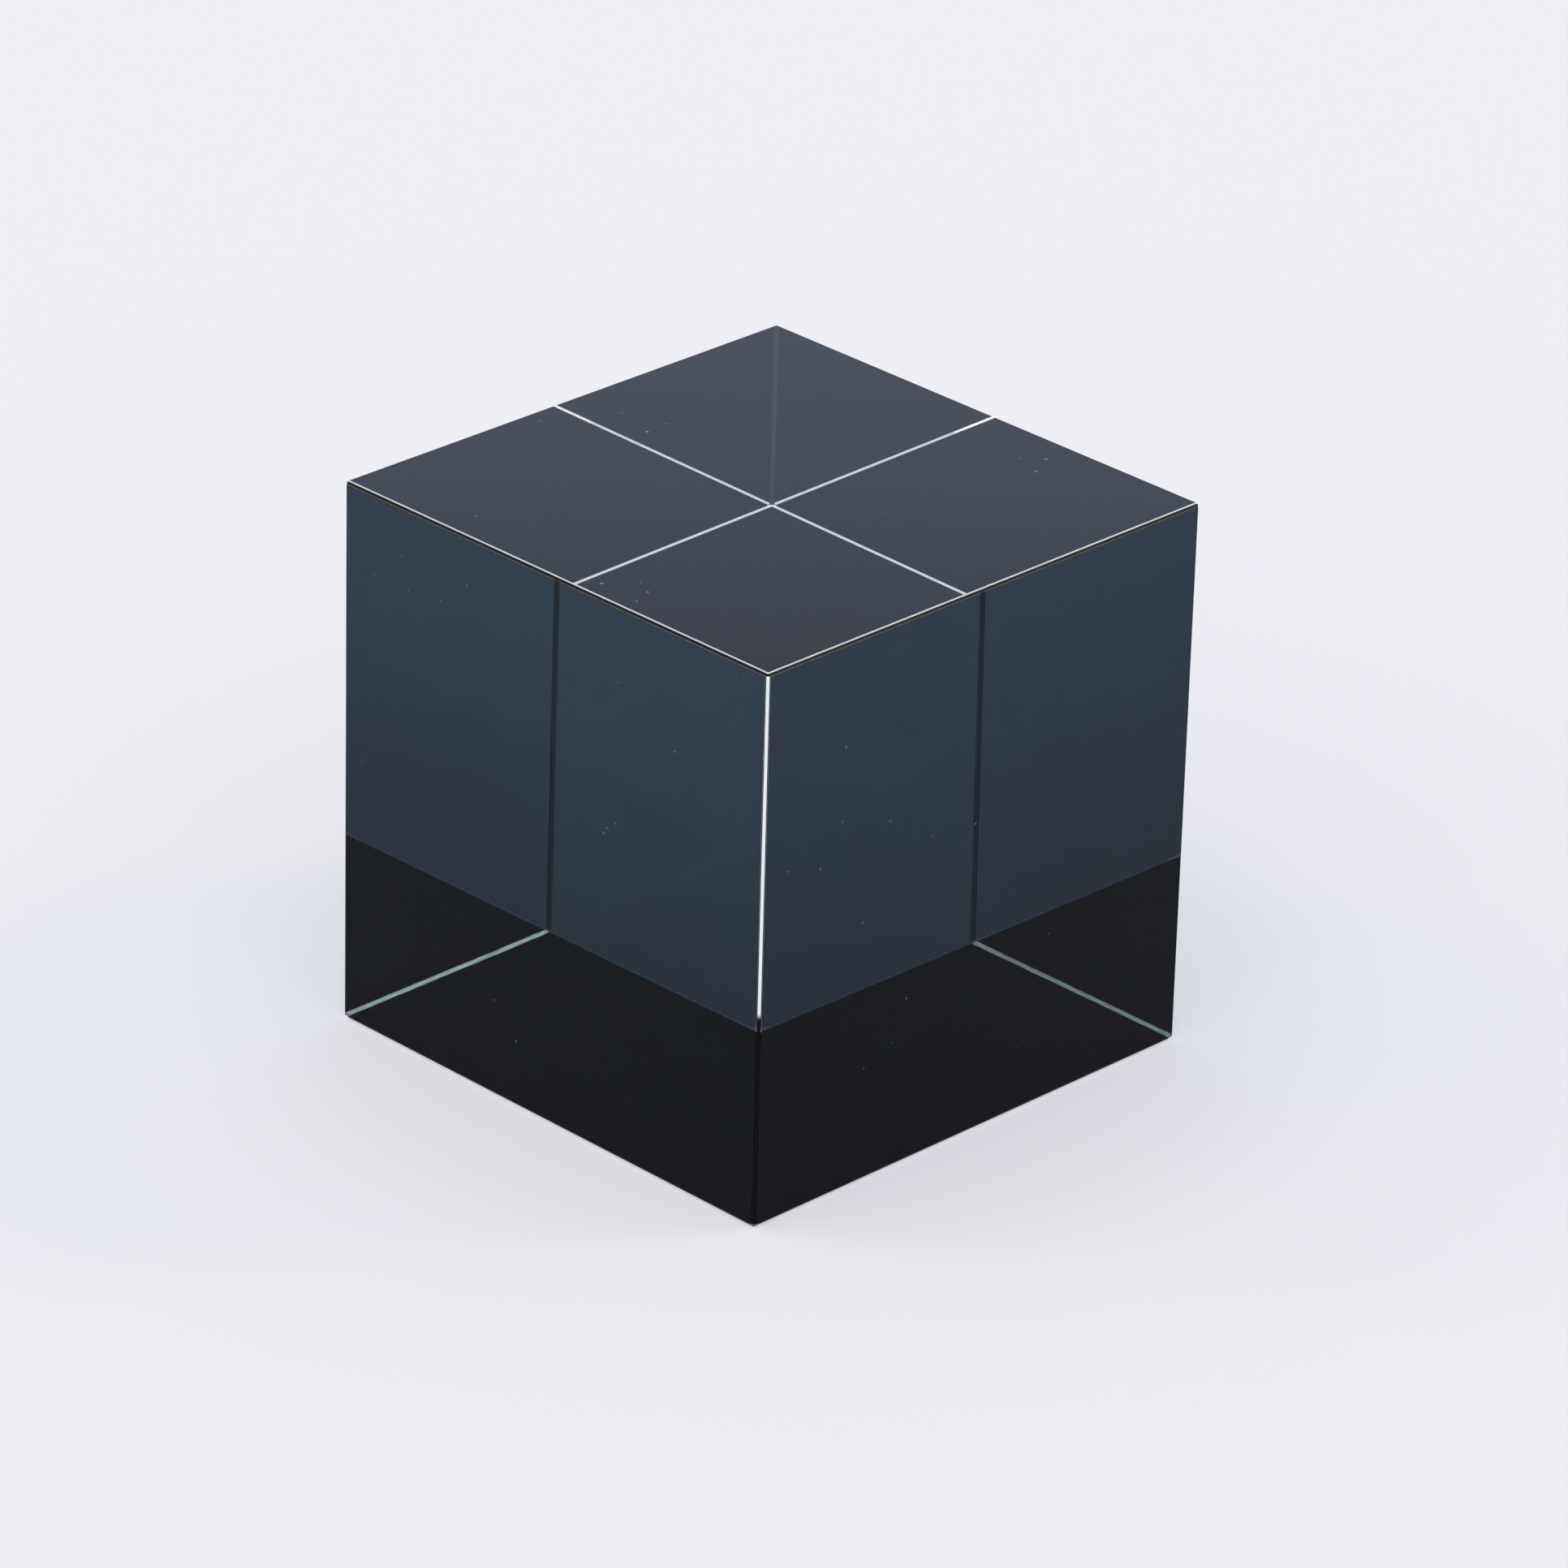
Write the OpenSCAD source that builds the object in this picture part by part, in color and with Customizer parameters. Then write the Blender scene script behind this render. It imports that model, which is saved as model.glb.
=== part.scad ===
// Solid clear glass desk block with a dark filter sheet on each of its four sides and a black backing under it.
// The top is bare glass. Every edge has a narrow chamfer that the sheets leave bare.
// Frame: +Z up, origin in the middle of the square that the object rests on.

/* [Glass block] */
// Width of the glass block along X
block_width = 49.8; // [20:0.1:120]
// Depth of the glass block along Y
block_depth = 49.8; // [20:0.1:120]
// Height of the glass block along Z
block_height = 49.8; // [20:0.1:120]
// Leg of the 45 degree chamfer on each of the twelve edges
edge_chamfer = 0.25; // [0.1:0.05:1]

/* [Filter sheets] */
// Thickness of one side filter sheet
filter_thickness = 0.08; // [0.05:0.01:0.5]
// Film of air that stays between the glass and a side sheet
filter_air_gap = 0.02; // [0.01:0.01:0.1]

/* [Base backing] */
// Thickness of the black backing under the block
backing_thickness = 0.08; // [0.05:0.01:0.5]
// Thickness of the clear bond between the backing and the glass
backing_bond = 0.02; // [0.01:0.01:0.1]

/* [Sheet edges] */
// Bare glass between the edge of a sheet and the start of the chamfer
sheet_margin = 0.03; // [0:0.01:0.5]

/* [Hidden] */

glass_colour = [0.84, 0.91, 0.93];
filter_colour = [0.13, 0.18, 0.22];
backing_colour = [0.05, 0.05, 0.06];

// From the glass to the middle of a side sheet's thickness
filter_stand_off = filter_air_gap + filter_thickness / 2;
// Middle of the block's height, with the block on its backing
block_middle = backing_thickness + backing_bond + block_height / 2;
// What a sheet loses on each side of the face it lies on
sheet_inset = edge_chamfer + sheet_margin;
sheet_width = block_width - 2 * sheet_inset;
sheet_depth = block_depth - 2 * sheet_inset;
sheet_height = block_height - 2 * sheet_inset;

// A corner is ground flat where the three chamfers beside it begin: this far in along the block's diagonal
corner_depth = 2 * edge_chamfer / sqrt(3);
// Size of the block of material that grinding one corner takes away
corner_waste = 4 * edge_chamfer;
// Turns +Z to the body diagonal of a cube
diagonal_tilt = atan(sqrt(2));
diagonal_turn = 45;

// Outline of the block seen along one axis, a rectangle with its corners cut off
module chamfered_outline(width, depth) {
    across = width / 2;
    along = depth / 2;
    polygon([
        [across, along - edge_chamfer],
        [across - edge_chamfer, along],
        [edge_chamfer - across, along],
        [-across, along - edge_chamfer],
        [-across, edge_chamfer - along],
        [edge_chamfer - across, -along],
        [across - edge_chamfer, -along],
        [across, edge_chamfer - along]
    ]);
}

module chamfered_bar(width, depth, length) {
    linear_extrude(height = length, center = true) chamfered_outline(width, depth);
}

// The material outside the flat on one corner, standing on the flat's plane
module corner_cut() {
    translate([block_width / 2, block_depth / 2, block_height / 2])
        rotate([0, diagonal_tilt, diagonal_turn])
            translate([-corner_waste, -corner_waste, -corner_depth])
                cube([2 * corner_waste, 2 * corner_waste, corner_waste]);
}

module at_each_corner() {
    for (flip_x = [0, 1], flip_y = [0, 1], flip_z = [0, 1])
        mirror([flip_x, 0, 0]) mirror([0, flip_y, 0]) mirror([0, 0, flip_z]) children();
}

module glass_block() {
    color(glass_colour)
        translate([0, 0, block_middle])
            difference() {
                intersection() {
                    chamfered_bar(block_width, block_depth, block_height);
                    rotate([90, 0, 0]) chamfered_bar(block_width, block_height, block_depth);
                    rotate([0, 90, 0]) chamfered_bar(block_height, block_depth, block_width);
                }
                at_each_corner() corner_cut();
            }
}

module base_backing() {
    color(backing_colour)
        translate([0, 0, backing_thickness / 2])
            cube([sheet_width, sheet_depth, backing_thickness], center = true);
}

// A sheet on the face that looks along X: side is 1 for +X and -1 for -X
module filter_across_x(side) {
    color(filter_colour)
        translate([side * (block_width / 2 + filter_stand_off), 0, block_middle])
            cube([filter_thickness, sheet_depth, sheet_height], center = true);
}

// A sheet on the face that looks along Y: side is 1 for +Y and -1 for -Y
module filter_across_y(side) {
    color(filter_colour)
        translate([0, side * (block_depth / 2 + filter_stand_off), block_middle])
            cube([sheet_width, filter_thickness, sheet_height], center = true);
}

module filter_front() {
    filter_across_y(-1);
}

module filter_right() {
    filter_across_x(1);
}

module filter_back() {
    filter_across_y(1);
}

module filter_left() {
    filter_across_x(-1);
}

glass_block();
base_backing();
filter_front();
filter_right();
filter_back();
filter_left();
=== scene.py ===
"""Looks of a solid glass desk cube with dark filter sheets on its sides and a black backing under it."""

import math

import bmesh
import bpy
from bpy.props import FloatProperty, FloatVectorProperty, PointerProperty
from mathutils import Matrix, Vector


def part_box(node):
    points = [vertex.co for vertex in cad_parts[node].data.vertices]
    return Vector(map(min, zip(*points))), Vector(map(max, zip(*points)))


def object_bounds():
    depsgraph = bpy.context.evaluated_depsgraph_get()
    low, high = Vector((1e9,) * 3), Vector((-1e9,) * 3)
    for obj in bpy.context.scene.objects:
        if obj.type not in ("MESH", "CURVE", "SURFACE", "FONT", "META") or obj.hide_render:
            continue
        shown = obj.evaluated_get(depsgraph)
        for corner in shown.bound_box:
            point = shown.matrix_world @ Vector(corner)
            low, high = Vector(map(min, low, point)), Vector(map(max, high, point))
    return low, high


bl_info = {
    "name": "Glass Filter Cube",
    "version": (1, 0, 0),
    "blender": (4, 5, 0),
    "location": "3D Viewport > Sidebar > Glass Cube",
    "description": "Finishes of a glass desk cube with filter sheets, and the stage it stands on",
    "category": "Material",
}

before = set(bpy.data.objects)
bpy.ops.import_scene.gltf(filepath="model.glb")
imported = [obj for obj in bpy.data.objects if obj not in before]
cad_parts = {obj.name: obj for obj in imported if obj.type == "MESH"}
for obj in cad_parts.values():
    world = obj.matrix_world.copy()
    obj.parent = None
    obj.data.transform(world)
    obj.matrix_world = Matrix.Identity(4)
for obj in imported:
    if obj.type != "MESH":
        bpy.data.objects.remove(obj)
CAD_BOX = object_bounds()
BLOCK_LOW, BLOCK_HIGH = (Vector(corner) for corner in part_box("glass_block"))
BACKING_LOW = Vector(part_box("base_backing")[0])
SHEET_LOW, SHEET_HIGH = (Vector(corner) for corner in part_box("filter_right"))
# a sheet's middle, from which its faces, ends and cut edges are told apart
SHEET_CENTRE = Vector((0.0, 0.0, (SHEET_LOW.z + SHEET_HIGH.z) / 2))
SHEET_MIDDLE = (SHEET_LOW.x + SHEET_HIGH.x) / 2
SHEET_EASE = (SHEET_HIGH.x - SHEET_LOW.x) / 8
SHEET_INSET = BLOCK_HIGH.y - SHEET_HIGH.y
CHAMFER_LEG = BLOCK_HIGH.x - max(
    corner.co.x
    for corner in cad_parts["glass_block"].data.vertices
    if corner.co.x < BLOCK_HIGH.x - 1e-6
)
# how sharply a finish ends at the edge of a face, and within a chamfer
FACE_HAIR = CHAMFER_LEG * 0.02
CHAMFER_EASE = CHAMFER_LEG * 0.05


# ---------------------------------------------------------------- sizes and colours


class GlassSettings(bpy.types.PropertyGroup):
    """Finish of the glass block, with the painted highlights, painted shade and painted colour fringes on its
    chamfers.
    """

    ior: FloatProperty(
        name="Index",
        description="Refractive index of the crown glass",
        default=1.505,
        min=1.3,
        max=2.0,
    )
    # painted highlight: colour of the bright upper part of the upright chamfers, also the colour of the dust
    # specks and of the scatter from inside
    dust_and_highlight_colour: FloatVectorProperty(
        name="Ground Glass",
        description="Colour of the light that a fine-ground chamfer scatters back",
        subtype="COLOR",
        size=3,
        default=(0.94, 0.97, 0.94),
        min=0.0,
        max=1.0,
    )
    # painted highlight: colour, strength and width of the ground strip round the top; the colour also tints
    # the dust specks near the top edges
    top_edge_highlight_and_dust_colour: FloatVectorProperty(
        name="Ground Top Edge",
        description="Colour of the light that the ground strip round the top scatters back",
        subtype="COLOR",
        size=3,
        default=(0.80, 0.92, 1.0),
        min=0.0,
        max=1.0,
    )
    top_highlight_scatter: FloatProperty(
        name="Top Scatter",
        description="How much of the ground strip round the top scatters light back",
        subtype="FACTOR",
        default=0.64,
        min=0.0,
        max=1.0,
    )
    top_highlight_strip: FloatProperty(
        name="Top Strip",
        description="Share of the top chamfer's width that is ground, counted from the top face",
        subtype="FACTOR",
        default=0.34,
        min=0.0,
        max=1.0,
    )
    # painted shade: darkening of the top chamfers beside the ground strip
    top_painted_shade: FloatProperty(
        name="Top Shade",
        description="How much of the light that meets the rest of the top chamfer is lost there",
        subtype="FACTOR",
        default=0.93,
        min=0.0,
        max=1.0,
    )
    # painted colour fringes: tints on the base chamfers that stand in for the coloured edges of their bright
    # lines
    painted_cool_fringe: FloatVectorProperty(
        name="Cool Fringe",
        description="Tint of the chamfers along the base, beside the sides",
        subtype="COLOR",
        size=3,
        default=(0.66, 0.81, 1.0),
        min=0.0,
        max=1.0,
    )
    painted_warm_fringe: FloatVectorProperty(
        name="Warm Fringe",
        description="Tint of the chamfers along the base, beside the underside",
        subtype="COLOR",
        size=3,
        default=(1.0, 0.92, 0.80),
        min=0.0,
        max=1.0,
    )
    # painted highlight: strength, width and starting height of the bright upper part of the upright chamfers,
    # which stands in for light seen through the block
    upright_highlight_scatter: FloatProperty(
        name="Upright Scatter",
        description="How much of the ground part of an upright chamfer scatters light back",
        subtype="FACTOR",
        default=0.97,
        min=0.0,
        max=1.0,
    )
    upright_highlight_width: FloatProperty(
        name="Upright Width",
        description="Share of an upright chamfer's width that is ground, about its middle",
        subtype="FACTOR",
        default=0.75,
        min=0.0,
        max=1.0,
    )
    upright_highlight_start: FloatProperty(
        name="Upright Start",
        description="Height at which the ground part of an upright chamfer starts, as a share of the block",
        subtype="FACTOR",
        default=0.386,
        min=0.0,
        max=1.0,
    )
    # painted shade: darkening of the upright chamfers from inside the block
    upright_painted_shade: FloatProperty(
        name="Upright Shade",
        description="How much of the light that meets an upright chamfer inside the block is lost there",
        subtype="FACTOR",
        default=0.72,
        min=0.0,
        max=1.0,
    )
    inner_scatter: FloatProperty(
        name="Inner Scatter",
        description="How much of an upright chamfer scatters light back into the block",
        subtype="FACTOR",
        default=0.25,
        min=0.0,
        max=1.0,
    )
    # painted shade: darkening of the polished foot of the upright chamfers from outside
    low_painted_shade: FloatProperty(
        name="Low Shade",
        description="How much of the light that meets the polished foot of an upright chamfer is lost there",
        subtype="FACTOR",
        default=0.85,
        min=0.0,
        max=1.0,
    )
    dust: FloatProperty(
        name="Dust",
        description="How strongly the specks of dust on the top scatter light",
        subtype="FACTOR",
        default=0.25,
        min=0.0,
        max=1.0,
    )


class FilterSettings(bpy.types.PropertyGroup):
    """Finish of the four side sheets, with painted shade towards their foot and on the right and left sheets.
    """

    colour: FloatVectorProperty(
        name="Filter Colour",
        description="Share of light that the top of a sheet lets into the block",
        subtype="COLOR",
        size=3,
        default=(0.0320, 0.0510, 0.0730),
        min=0.0,
        max=1.0,
    )
    # painted shade: the sheets let in less light towards their foot, standing in for the shade on the floor
    # close behind the block
    painted_shade_foot_colour: FloatVectorProperty(
        name="Foot Colour",
        description="Share of light that a sheet lets in a third of the way up and below",
        subtype="COLOR",
        size=3,
        default=(0.0268, 0.0420, 0.0550),
        min=0.0,
        max=1.0,
    )
    # painted shade: the right and left sheets are darker than the front and back ones because of how the
    # light falls
    right_left_painted_shade: FloatProperty(
        name="Right Tone",
        description="How much of that light the sheets on the right and left let in, beside the other two",
        subtype="FACTOR",
        default=0.88,
        min=0.0,
        max=1.0,
    )
    gloss_tint: FloatVectorProperty(
        name="Gloss Tint",
        description="Colour of the reflections on a sheet",
        subtype="COLOR",
        size=3,
        default=(0.79, 0.88, 1.0),
        min=0.0,
        max=1.0,
    )
    way_out: FloatVectorProperty(
        name="Way Out",
        description="Share of light that a sheet lets out of the block",
        subtype="COLOR",
        size=3,
        default=(0.96, 0.97, 0.98),
        min=0.0,
        max=1.0,
    )
    ior: FloatProperty(
        name="Index",
        description="Refractive index of the sheet, which sets how strong its surface gloss is",
        default=1.167,
        min=1.0,
        max=2.0,
    )
    dust: FloatProperty(
        name="Dust",
        description="How strongly the specks of dust on a sheet scatter light",
        subtype="FACTOR",
        default=0.12,
        min=0.0,
        max=1.0,
    )


class BackingSettings(bpy.types.PropertyGroup):
    """Finish of the black backing."""

    colour: FloatVectorProperty(
        name="Backing Colour",
        description="Colour of the film under the block",
        subtype="COLOR",
        size=3,
        default=(0.004, 0.004, 0.005),
        min=0.0,
        max=1.0,
    )
    roughness: FloatProperty(
        name="Roughness",
        description="Roughness of the backing",
        subtype="FACTOR",
        default=0.45,
        min=0.0,
        max=1.0,
    )


class StageSettings(bpy.types.PropertyGroup):
    """Floor, light and camera."""

    floor_colour: FloatVectorProperty(
        name="Floor Colour",
        description="Colour of the pale floor",
        subtype="COLOR",
        size=3,
        default=(0.49, 0.465, 0.425),
        min=0.0,
        max=1.0,
    )
    floor_glow: FloatVectorProperty(
        name="Floor Glow",
        description="Light that comes up through the table, which keeps shadows pale",
        subtype="COLOR",
        size=3,
        default=(0.40, 0.41, 0.46),
        min=0.0,
        max=1.0,
    )
    floor_radius: FloatProperty(
        name="Floor Radius",
        description="Radius of the round floor",
        default=20.0,
        min=1.0,
        unit="LENGTH",
    )
    floor_drop: FloatProperty(
        name="Floor Drop",
        description="How far the floor lies under the backing",
        default=0.00002,
        min=0.0,
        unit="LENGTH",
    )
    low_colour: FloatVectorProperty(
        name="Low Fill",
        description="Light that comes from all round, up to about 24 degrees",
        subtype="COLOR",
        size=3,
        default=(0.525, 0.635, 0.85),
        min=0.0,
        max=1.0,
    )
    sky_colour: FloatVectorProperty(
        name="Fill Light",
        description="Light that comes from all round, higher up",
        subtype="COLOR",
        size=3,
        default=(0.36, 0.41, 0.515),
        min=0.0,
        max=1.0,
    )
    sky_overhead: FloatProperty(
        name="Overhead",
        description="How much stronger the fill light is from straight above",
        default=1.6,
        min=0.0,
    )
    key_colour: FloatVectorProperty(
        name="Key Light",
        description="Colour of the broad soft light over the camera",
        subtype="COLOR",
        size=3,
        default=(1.0, 0.957, 0.864),
        min=0.0,
        max=1.0,
    )
    key_strength: FloatProperty(
        name="Key Strength",
        description="Strength of the broad soft light",
        default=0.80,
        min=0.0,
    )
    key_swing: FloatProperty(
        name="Key Swing",
        description="From the camera round to the broad soft light",
        default=math.radians(-25.0),
        subtype="ANGLE",
    )
    key_elevation: FloatProperty(
        name="Key Elevation",
        description="Height of the broad soft light",
        default=math.radians(60.0),
        subtype="ANGLE",
    )
    key_spread: FloatProperty(
        name="Key Spread",
        description="From the middle of the broad soft light to where it has faded out",
        default=math.radians(60.0),
        subtype="ANGLE",
    )
    box_colour: FloatVectorProperty(
        name="Softbox Colour",
        description="Colour of the two softboxes beside the cube",
        subtype="COLOR",
        size=3,
        default=(1.0, 0.83, 0.63),
        min=0.0,
        max=1.0,
    )
    box_strength: FloatProperty(
        name="Softbox Strength",
        description="Strength of the softbox on the right of the cube",
        default=9.8,
        min=0.0,
    )
    box_left_share: FloatProperty(
        name="Left Softbox",
        description="Strength of the left softbox beside the right one",
        subtype="FACTOR",
        default=0.53,
        min=0.0,
        max=1.0,
    )
    box_elevation: FloatProperty(
        name="Softbox Elevation",
        description="Height of the two softboxes",
        default=math.radians(39.4),
        subtype="ANGLE",
    )
    box_swing: FloatProperty(
        name="Softbox Swing",
        description="From the camera round to each softbox",
        default=math.radians(100.3),
        subtype="ANGLE",
    )
    box_spread: FloatProperty(
        name="Softbox Spread",
        description="From the middle of a softbox to where it has faded out",
        default=math.radians(7.0),
        subtype="ANGLE",
    )
    azimuth: FloatProperty(
        name="Azimuth",
        description="Where the camera stands round the cube, from straight in front towards the right",
        default=math.radians(44.81),
        subtype="ANGLE",
    )
    elevation: FloatProperty(
        name="Elevation",
        description="How high the camera looks down from",
        default=math.radians(26.066),
        subtype="ANGLE",
    )
    roll: FloatProperty(
        name="Roll",
        description="Tilt of the camera about its line of sight",
        default=math.radians(1.577),
        subtype="ANGLE",
    )
    distance: FloatProperty(
        name="Distance",
        description="From the camera to the point it looks at",
        default=0.7316,
        min=0.1,
        unit="LENGTH",
    )
    aim_offset: FloatVectorProperty(
        name="Aim Offset",
        description="From the middle of the cube to the point that the camera looks at",
        size=3,
        default=(0.0038, -0.00155, 0.0),
        unit="LENGTH",
    )
    lens: FloatProperty(
        name="Lens",
        description="Focal length in millimetres on a 36 mm sensor",
        default=201.78,
        min=10.0,
    )


class CubeSettings(bpy.types.PropertyGroup):
    """All settings of the cube and its stage."""

    glass: PointerProperty(type=GlassSettings, name="Glass Block", description="Finish of the block")
    sheets: PointerProperty(type=FilterSettings, name="Filter Sheets", description="Finish of the sheets")
    backing: PointerProperty(type=BackingSettings, name="Base Backing", description="Finish of the backing")
    stage: PointerProperty(type=StageSettings, name="Stage", description="Floor, light and camera")


# ---------------------------------------------------------------- shader trees

# noise and cell scales, in features per metre
SPECK_CELLS = 420.0
SPECK_DRIFT = 55.0
POLISH_CLOUDS = 90.0
GRIT = 9000.0
EDGE_WEAR = 400.0
FILM_CLOUDS = 60.0
BACKING_GRAIN = 4000.0


# the Mix node's colour sockets, which share their names with its number and vector sockets
COLOUR_A = 6
COLOUR_B = 7
COLOUR_OUT = 2


class Value:
    """A number inside a shader tree. Arithmetic on it adds the Math nodes that work it out."""

    def __init__(self, shader, socket):
        self.shader = shader
        self.socket = socket

    def math(self, operation, *others, clamp=False):
        settings = {"operation": operation, "use_clamp": clamp}
        return self.shader.node("ShaderNodeMath", settings, [self, *others])

    def flipped(self, operation, other):
        return self.shader.node("ShaderNodeMath", {"operation": operation}, [other, self])

    def __add__(self, other):
        return self.math("ADD", other)

    def __radd__(self, other):
        return self.math("ADD", other)

    def __sub__(self, other):
        return self.math("SUBTRACT", other)

    def __rsub__(self, other):
        return self.flipped("SUBTRACT", other)

    def __mul__(self, other):
        return self.math("MULTIPLY", other)

    def __rmul__(self, other):
        return self.math("MULTIPLY", other)

    def __truediv__(self, other):
        return self.math("DIVIDE", other)

    def __abs__(self):
        return self.math("ABSOLUTE")

    def lower(self, other):
        return self.math("MINIMUM", other)

    def higher(self, other):
        return self.math("MAXIMUM", other)

    def clamped(self):
        return self.math("ADD", 0.0, clamp=True)


class Shader:
    """Builds the node tree of one material or world."""

    def __init__(self, owner, output_kind):
        owner.use_nodes = True
        self.tree = owner.node_tree
        self.tree.nodes.clear()
        self.output = self.tree.nodes.new(output_kind)

    def node(self, kind, settings=None, inputs=None, output=0):
        """Adds a node with its settings first, then its inputs as values or links, and gives one output."""
        made = self.tree.nodes.new(kind)
        for name, value in (settings or {}).items():
            setattr(made, name, value)
        pairs = inputs.items() if isinstance(inputs, dict) else enumerate(inputs or [])
        for key, value in pairs:
            self.feed(made.inputs[key], value)
        return Value(self, made.outputs[output])

    def feed(self, socket, value):
        if isinstance(value, Value):
            self.tree.links.new(value.socket, socket)
        elif socket.type == "RGBA":
            socket.default_value = (*value, 1.0)
        else:
            socket.default_value = value

    def finish(self, shader):
        self.feed(self.output.inputs["Surface"], shader)

    def object_point(self, centre):
        """Object coordinates measured from a centre."""
        point = self.node("ShaderNodeTexCoord", output="Object")
        return self.node("ShaderNodeMapping", {}, {"Vector": point, "Location": [-c for c in centre]})

    def split(self, vector):
        """The three components of a vector."""
        made = self.node("ShaderNodeSeparateXYZ", {}, [vector])
        return [Value(self, socket) for socket in made.socket.node.outputs]

    def step_up(self, value, start, end):
        """0 below start, 1 above end, and smooth between them."""
        settings = {"interpolation_type": "SMOOTHSTEP"}
        return self.node("ShaderNodeMapRange", settings, {"Value": value, "From Min": start, "From Max": end})

    def spread(self, value, low, high):
        """Stretches a value from 0..1 to low..high."""
        return value * (high - low) + low

    def noise(self, point, scale, detail=2.0):
        return self.node("ShaderNodeTexNoise", {}, {"Vector": point, "Scale": scale, "Detail": detail})

    def specks(self, point):
        """1 on small scattered specks, fewer here and more there."""
        inputs = {"Vector": point, "Scale": SPECK_CELLS}
        away = self.node("ShaderNodeTexVoronoi", {}, inputs, "Distance")
        drift = self.noise(point, SPECK_DRIFT)
        return (1.0 - self.step_up(away, 0.03, 0.075)) * self.step_up(drift, 0.42, 0.62)

    def mix_colour(self, factor, first, second):
        settings = {"data_type": "RGBA"}
        inputs = {"Factor": factor, COLOUR_A: first, COLOUR_B: second}
        return self.node("ShaderNodeMix", settings, inputs, COLOUR_OUT)

    def mix_shader(self, factor, first, second):
        return self.node("ShaderNodeMixShader", {}, [factor, first, second])

    def bump(self, height, strength, distance):
        inputs = {"Height": height, "Strength": strength, "Distance": distance}
        return self.node("ShaderNodeBump", {}, inputs)


def dress(node_name, material):
    """Puts a material on every slot of a CAD node."""
    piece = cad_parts[node_name]
    if not piece.material_slots:
        piece.data.materials.append(material)
    for slot in piece.material_slots:
        slot.material = material
    return piece


# ---------------------------------------------------------------- materials


def glass_material(settings):
    """Polished crown glass with a black glued underside, ground edges that carry painted highlights, painted
    shade on its chamfers and on the dark rims round the sheets, and painted colour fringes along its base.
    """
    material = bpy.data.materials.new("polished_glass")
    shader = Shader(material, "ShaderNodeOutputMaterial")
    centre = (BLOCK_LOW + BLOCK_HIGH) / 2
    half = (BLOCK_HIGH - BLOCK_LOW) / 2
    point = shader.object_point(centre)
    x, y, z = shader.split(point)

    # 1 within reach of each pair of faces: as far as a chamfer goes, and as far as the edge of a sheet
    rim_x, rim_y, rim_z = (
        shader.step_up(abs(along), size - CHAMFER_LEG - FACE_HAIR, size - CHAMFER_LEG + FACE_HAIR)
        for along, size in zip((x, y, z), half)
    )
    seal_x, seal_y, seal_z = (
        shader.step_up(abs(along), size - SHEET_INSET - SHEET_EASE, size - SHEET_INSET)
        for along, size in zip((x, y, z), half)
    )
    # the chamfers round the top: a pale ground strip beside the top face, seen from outside only, that
    # carries a painted highlight, and painted shade on the rest
    from_inside = shader.node("ShaderNodeNewGeometry", output="Backfacing")
    from_outside = 1.0 - from_inside
    level = rim_x.higher(rim_y) * seal_z * shader.step_up(z, 0.0, half.z / 2)
    strip = half.z - CHAMFER_LEG * settings.top_highlight_strip
    # ground strip with a painted highlight, seen from outside only
    ground = level * from_outside * shader.step_up(z, strip - CHAMFER_EASE, strip + CHAMFER_EASE)
    # painted shade on the rest of the top chamfers
    level_painted_shade = level * (1.0 - ground) * settings.top_painted_shade
    underside = shader.step_up(-1.0 * z, half.z - FACE_HAIR, half.z - FACE_HAIR / 2)

    # the upright chamfers: a ground finish above their polished foot that carries a painted highlight, and
    # painted shade at their margins, on their polished foot from outside and on the whole chamfer from inside
    upright = (rim_x * seal_y).higher(seal_x * rim_y) * (1.0 - rim_z)
    start = (settings.upright_highlight_start * 2.0 - 1.0) * half.z
    ease = CHAMFER_LEG * 1.5
    off_middle = abs(abs(x) - abs(y))
    rim = CHAMFER_LEG * settings.upright_highlight_width
    margin = shader.step_up(off_middle, rim - CHAMFER_EASE, rim + CHAMFER_EASE)
    high = shader.step_up(z, start - ease, start + ease)
    # painted highlight on the upright chamfers above the start height, seen from outside
    pale = upright * high * from_outside * (1.0 - margin)
    # painted shade from outside on the chamfer margins, on the rims round the sheets and on the polished
    # foot, and from inside on the whole upright
    outer_painted_shade = margin.higher((1.0 - high) * settings.low_painted_shade)
    shaded = upright * (from_inside * settings.upright_painted_shade + from_outside * outer_painted_shade)

    # the chamfers along the base: painted colour fringes of their bright lines, cool towards the sides and
    # warm towards the underside
    foot = rim_x.higher(rim_y) * rim_z * (1.0 - shader.step_up(z, -half.z / 2, 0.0))
    across = (z + half.z) / CHAMFER_LEG
    cool = foot * shader.step_up(across, 0.6, 0.85)
    warm = foot * (1.0 - shader.step_up(across, 0.15, 0.35))
    painted_fringe = shader.mix_colour(cool, (1.0, 1.0, 1.0), settings.painted_cool_fringe)
    painted_fringe = shader.mix_colour(warm, painted_fringe, settings.painted_warm_fringe)

    haze = shader.noise(point, POLISH_CLOUDS, 4.0)
    polish = shader.spread(haze, 0.0, 0.012)
    clear = shader.node(
        "ShaderNodeBsdfPrincipled",
        {},
        {
            "Base Color": painted_fringe,
            "Roughness": polish,
            "IOR": settings.ior,
            "Transmission Weight": 1.0,
        },
    )
    grit = shader.noise(point, GRIT, 3.0)
    frost_dust_and_highlight_bsdf = shader.node(
        "ShaderNodeBsdfPrincipled",
        {},
        {
            "Base Color": shader.mix_colour(level, settings.dust_and_highlight_colour, settings.top_edge_highlight_and_dust_colour),
            "Roughness": shader.spread(grit, 0.45, 0.75),
            "IOR": settings.ior,
        },
    )
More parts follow.
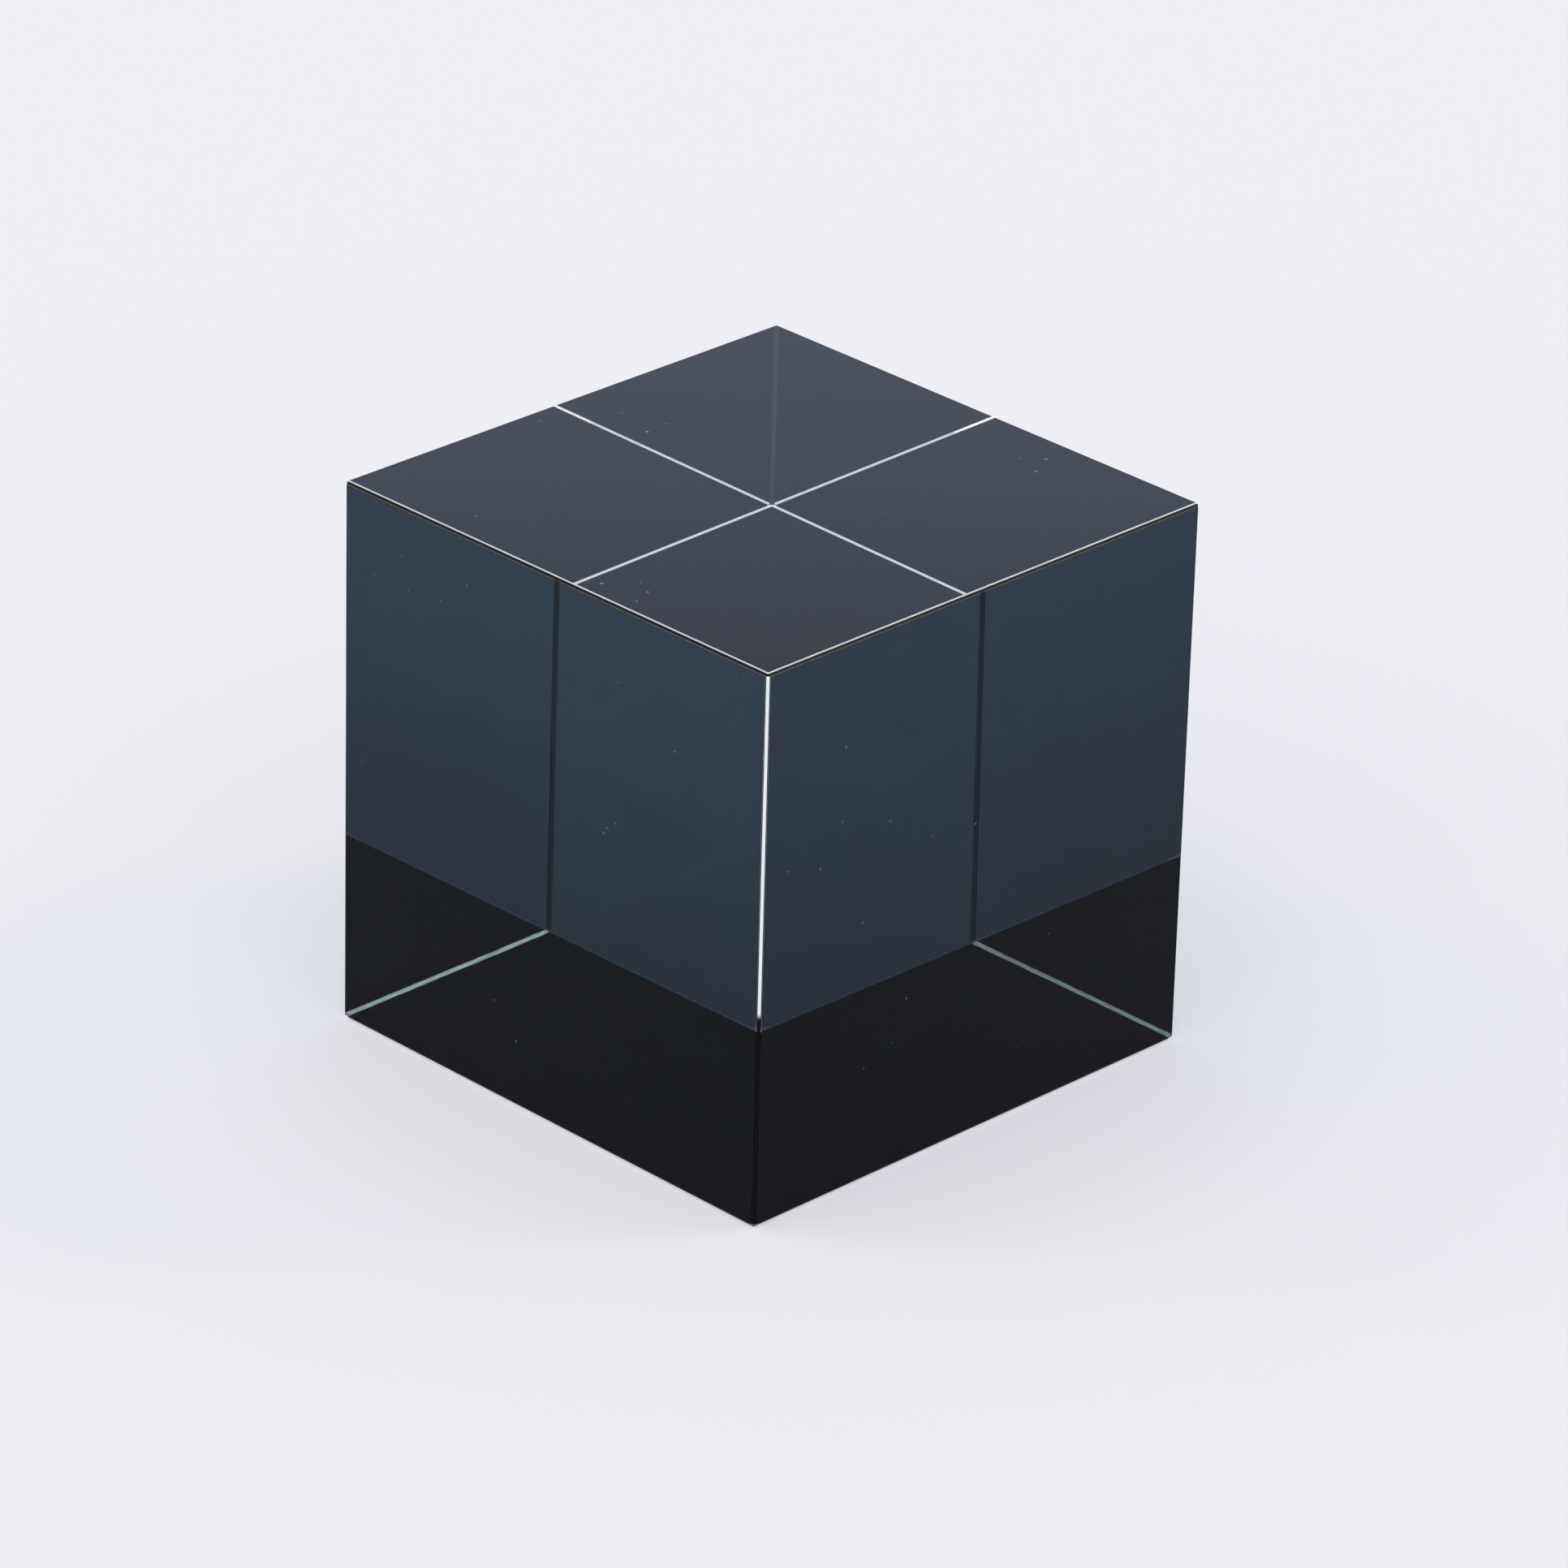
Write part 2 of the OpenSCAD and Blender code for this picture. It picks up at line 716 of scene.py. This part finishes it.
    # black of the glued underside, also used as painted shade on the chamfers and on the rims round the
    # sheets
    bonded_black_and_painted_shade = shader.node(
        "ShaderNodeBsdfPrincipled",
        {},
        {"Base Color": (0.003, 0.003, 0.004), "Roughness": 0.6, "Specular IOR Level": 0.0},
    )
    unevenness = shader.spread(shader.noise(point, EDGE_WEAR, 3.0), 0.8, 1.2)
    top_face = shader.step_up(z, half.z - FACE_HAIR, half.z - FACE_HAIR / 2)
    dust = shader.specks(point) * top_face * settings.dust
    # the ground strip round the top and the upper part of the upright chamfers carry painted highlights
    frost_and_highlight = (ground * unevenness * settings.top_highlight_scatter).higher(pale * settings.upright_highlight_scatter)
    frost_and_highlight = frost_and_highlight.higher(upright * from_inside * settings.inner_scatter)
    body = shader.mix_shader(frost_and_highlight.higher(dust), clear, frost_dust_and_highlight_bsdf)
    # painted shade: the shade masks mix the surface towards the black of the underside
    shader.finish(shader.mix_shader(underside.higher(shaded).higher(level_painted_shade), body, bonded_black_and_painted_shade))
    return material


def filter_material(name, settings, painted_shade_tone):
    """Slate-blue film that darkens light on its way into the block and lets it out again; painted shade makes
    it darker towards its foot and, for the right and left sheets, darker all over.
    """
    material = bpy.data.materials.new(name)
    high, foot = ([(painted_shade_tone * c) ** 2 for c in colour] for colour in (settings.colour, settings.painted_shade_foot_colour))
    shader = Shader(material, "ShaderNodeOutputMaterial")
    point = shader.object_point(SHEET_CENTRE)
    cloud = shader.noise(point, FILM_CLOUDS, 3.0)
    x, y, z = shader.split(point)
    reach = SHEET_HIGH.z - SHEET_CENTRE.z
    # painted shade: the film colour darkens towards the foot of the sheet, with random drift
    rise = shader.node("ShaderNodeMapRange", {}, {"Value": z, "From Min": -0.35 * reach, "From Max": reach})
    drift = shader.spread(cloud, -0.12, 0.12)
    shaded = shader.mix_colour((rise + drift).clamped(), foot, high)
    stand_off = abs(x).higher(abs(y))
    outer = shader.step_up(stand_off, SHEET_MIDDLE - SHEET_EASE, SHEET_MIDDLE + SHEET_EASE)
    leaving = shader.node("ShaderNodeNewGeometry", output="Backfacing")
    entering = outer * (1.0 - leaving)
    tint = shader.mix_colour(entering, settings.way_out, shaded)
    side = shader.step_up(abs(x).lower(abs(y)), SHEET_HIGH.y - SHEET_EASE, SHEET_HIGH.y)
    ends = shader.step_up(abs(z), reach - SHEET_EASE, reach)
    film = shader.node(
        "ShaderNodeBsdfPrincipled",
        {},
        {
            "Base Color": tint,
            "Roughness": shader.spread(cloud, 0.0, 0.01),
            "IOR": settings.ior,
            "Transmission Weight": 1.0,
            "Specular Tint": settings.gloss_tint,
        },
    )
    edge = shader.node(
        "ShaderNodeBsdfPrincipled",
        {},
        {"Base Color": (0.004, 0.005, 0.007), "Roughness": 0.5, "Specular IOR Level": 0.1},
    )
    speck = shader.node("ShaderNodeBsdfDiffuse", {}, {"Color": (0.6, 0.63, 0.66)})
    dusty = shader.mix_shader(shader.specks(point) * entering * settings.dust, film, speck)
    shader.finish(shader.mix_shader(side.higher(ends), dusty, edge))
    return material


def backing_material(settings):
    """Opaque black film."""
    material = bpy.data.materials.new("black_backing")
    shader = Shader(material, "ShaderNodeOutputMaterial")
    point = shader.object_point((0.0, 0.0, 0.0))
    grain = shader.noise(point, BACKING_GRAIN, 3.0)
    film = shader.node(
        "ShaderNodeBsdfPrincipled",
        {},
        {
            "Base Color": settings.colour,
            "Roughness": shader.spread(grain, settings.roughness * 0.8, settings.roughness * 1.2),
            "Normal": shader.bump(grain, 0.2, 0.00002),
        },
    )
    shader.finish(film)
    return material


def floor_material(settings):
    """Matt pale table."""
    material = bpy.data.materials.new("pale_floor")
    shader = Shader(material, "ShaderNodeOutputMaterial")
    matt = shader.node(
        "ShaderNodeBsdfPrincipled",
        {},
        {
            "Base Color": settings.floor_colour,
            "Roughness": 0.9,
            "Specular IOR Level": 0.0,
            "Emission Color": settings.floor_glow,
            "Emission Strength": 1.0,
        },
    )
    shader.finish(matt)
    return material


# ---------------------------------------------------------------- stage


def lay_floor(settings):
    mesh = bpy.data.meshes.new("floor")
    shape = bmesh.new()
    bmesh.ops.create_circle(shape, cap_ends=True, segments=96, radius=settings.floor_radius)
    bmesh.ops.translate(shape, verts=shape.verts, vec=(0.0, 0.0, BACKING_LOW.z - settings.floor_drop))
    shape.to_mesh(mesh)
    shape.free()
    mesh.materials.append(floor_material(settings))
    floor = bpy.data.objects.new("floor", mesh)
    bpy.context.scene.collection.objects.link(floor)


# heights on the unit sphere between which the low fill gives way to the fill above it
LOW_FILL_END = math.sin(math.radians(22.7))
HIGH_FILL_START = math.sin(math.radians(26.5))


def direction_to(azimuth, elevation):
    """Unit vector at an azimuth counted from the front towards the right, and an elevation."""
    level = math.cos(elevation)
    return Vector((math.sin(azimuth) * level, -math.cos(azimuth) * level, math.sin(elevation)))


def lamp(shader, direction, middle, spread):
    """1 at the middle of a soft round light, fading to 0 at its spread."""
    towards = shader.node("ShaderNodeVectorMath", {"operation": "DOT_PRODUCT"}, [direction, middle], "Value")
    return shader.step_up(towards, math.cos(spread), math.cos(spread * 0.5))


def hang_sky(settings):
    """Soft studio light: fill from all round, a broad key over the camera and a softbox on each side."""
    world = bpy.data.worlds.new("studio")
    bpy.context.scene.world = world
    shader = Shader(world, "ShaderNodeOutputWorld")
    direction = shader.node("ShaderNodeTexCoord", output="Generated")
    height = shader.split(direction)[2]
    rise = shader.step_up(height, 0.45, 1.0)
    fill = shader.spread(rise, 1.0, settings.sky_overhead)
    key_place = direction_to(settings.azimuth + settings.key_swing, settings.key_elevation)
    key = lamp(shader, direction, key_place, settings.key_spread) * settings.key_strength
    boxes = [
        lamp(
            shader,
            direction,
            direction_to(settings.azimuth + side * settings.box_swing, settings.box_elevation),
            settings.box_spread,
        )
        for side in (-1, 1)
    ]
    side_light = (boxes[0] * settings.box_left_share + boxes[1]) * settings.box_strength
    band = shader.step_up(height, LOW_FILL_END, HIGH_FILL_START)
    fill_colour = shader.mix_colour(band, settings.low_colour, settings.sky_colour)
    glow = shader.node("ShaderNodeBackground", {}, [fill_colour, fill])
    for colour, strength in ((settings.key_colour, key), (settings.box_colour, side_light)):
        light = shader.node("ShaderNodeBackground", {}, [colour, strength])
        glow = shader.node("ShaderNodeAddShader", {}, [glow, light])
    shader.finish(glow)


def place_camera(settings):
    low, high = (Vector(corner) for corner in CAD_BOX)
    aim = (low + high) / 2 + Vector(settings.aim_offset)
    back = direction_to(settings.azimuth, settings.elevation)
    turned = back.to_track_quat("Z", "Y").to_matrix().to_4x4() @ Matrix.Rotation(settings.roll, 4, "Z")
    data = bpy.data.cameras.new("camera")
    data.lens = settings.lens
    data.sensor_width = 36.0
    data.clip_start = 0.01
    data.clip_end = 100.0
    camera = bpy.data.objects.new("camera", data)
    camera.matrix_world = Matrix.Translation(aim + back * settings.distance) @ turned
    bpy.context.scene.collection.objects.link(camera)
    bpy.context.scene.camera = camera


# ---------------------------------------------------------------- operators


class CUBE_OT_glass_block(bpy.types.Operator):
    """Finish the glass block"""

    bl_idname = "cube.glass_block"
    bl_label = "Glass Block"

    def execute(self, context):
        dress("glass_block", glass_material(context.scene.glass_cube.glass))
        return {"FINISHED"}


class CUBE_OT_filter_sheets(bpy.types.Operator):
    """Finish the four filter sheets on the sides"""

    bl_idname = "cube.filter_sheets"
    bl_label = "Filter Sheets"

    def execute(self, context):
        settings = context.scene.glass_cube.sheets
        front_film = filter_material("front_film", settings, 1.0)
        # painted shade: a darker copy of the film for the right and left sheets
        painted_shade_right_film = filter_material("painted_shade_right_film", settings, settings.right_left_painted_shade)
        for name in ("filter_front", "filter_back"):
            dress(name, front_film)
        for name in ("filter_right", "filter_left"):
            dress(name, painted_shade_right_film)
        return {"FINISHED"}


class CUBE_OT_base_backing(bpy.types.Operator):
    """Finish the black backing under the block"""

    bl_idname = "cube.base_backing"
    bl_label = "Base Backing"

    def execute(self, context):
        dress("base_backing", backing_material(context.scene.glass_cube.backing))
        return {"FINISHED"}


class CUBE_OT_stage(bpy.types.Operator):
    """Lay the floor, hang the light and place the camera"""

    bl_idname = "cube.stage"
    bl_label = "Stage"

    def execute(self, context):
        settings = context.scene.glass_cube.stage
        lay_floor(settings)
        hang_sky(settings)
        place_camera(settings)
        scene = context.scene
        scene.cycles.max_bounces = 24
        scene.cycles.transmission_bounces = 24
        scene.cycles.glossy_bounces = 24
        scene.view_settings.view_transform = "Standard"
        return {"FINISHED"}


class CUBE_PT_panel(bpy.types.Panel):
    """Lists the pieces of the cube and its stage"""

    bl_idname = "CUBE_PT_panel"
    bl_label = "Glass Cube"
    bl_space_type = "VIEW_3D"
    bl_region_type = "UI"
    bl_category = "Glass Cube"

    def draw(self, context):
        for operator in STEPS:
            self.layout.operator(operator.bl_idname)


STEPS = (CUBE_OT_stage, CUBE_OT_glass_block, CUBE_OT_filter_sheets, CUBE_OT_base_backing)
GROUPS = (GlassSettings, FilterSettings, BackingSettings, StageSettings, CubeSettings)
CLASSES = (*GROUPS, *STEPS, CUBE_PT_panel)


def register():
    for cls in CLASSES:
        bpy.utils.register_class(cls)
    bpy.types.Scene.glass_cube = PointerProperty(
        type=CubeSettings, name="Glass Cube", description="Settings of the glass cube"
    )


def unregister():
    del bpy.types.Scene.glass_cube
    for cls in reversed(CLASSES):
        bpy.utils.unregister_class(cls)


def main():
    register()
    bpy.ops.cube.stage()
    bpy.ops.cube.glass_block()
    bpy.ops.cube.filter_sheets()
    bpy.ops.cube.base_backing()


if __name__ == "__main__":
    main()
